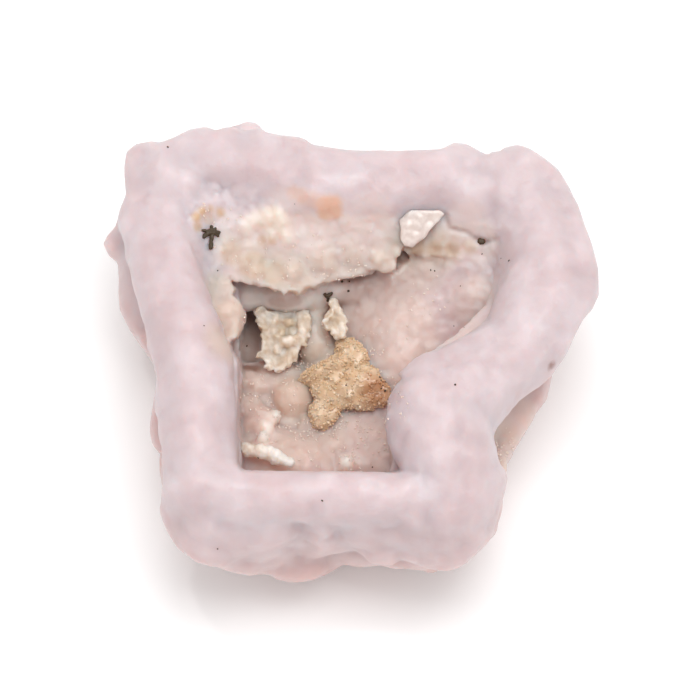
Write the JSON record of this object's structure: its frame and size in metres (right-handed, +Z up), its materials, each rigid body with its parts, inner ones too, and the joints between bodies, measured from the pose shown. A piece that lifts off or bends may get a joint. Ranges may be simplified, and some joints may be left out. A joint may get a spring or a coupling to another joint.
{
  "type": "pink chalcedony specimen",
  "caption": "Hand-sized pink chalcedony specimen: fused rope-like rolls round an open hollow with tan druse, a pale crystal and dark grains, flat underneath.",
  "frame": {"origin": "on the flat underside that the stone rests on, under the middle of the rim", "axes": "+X to the right across the widest way, +Y from the front roll to the back roll, +Z up out of the hollow"},
  "size_m": [0.0623, 0.0605, 0.0301],
  "materials": {
    "pink_chalcedony": "waxy, translucent, finely grained",
    "tan_druse": "sugary quartz with small flat faces",
    "pale_crystal": "cloudy cream quartz with flat faces",
    "dark_mineral": "dull, rough"
  },
  "bodies": {
    "root": {"chalcedony_body": "pink_chalcedony", "druse_crust": "tan_druse", "pale_crystal": "pale_crystal", "dark_twig": "dark_mineral", "dark_shard": "dark_mineral", "dark_bead": "dark_mineral"}
  },
  "joints": []
}
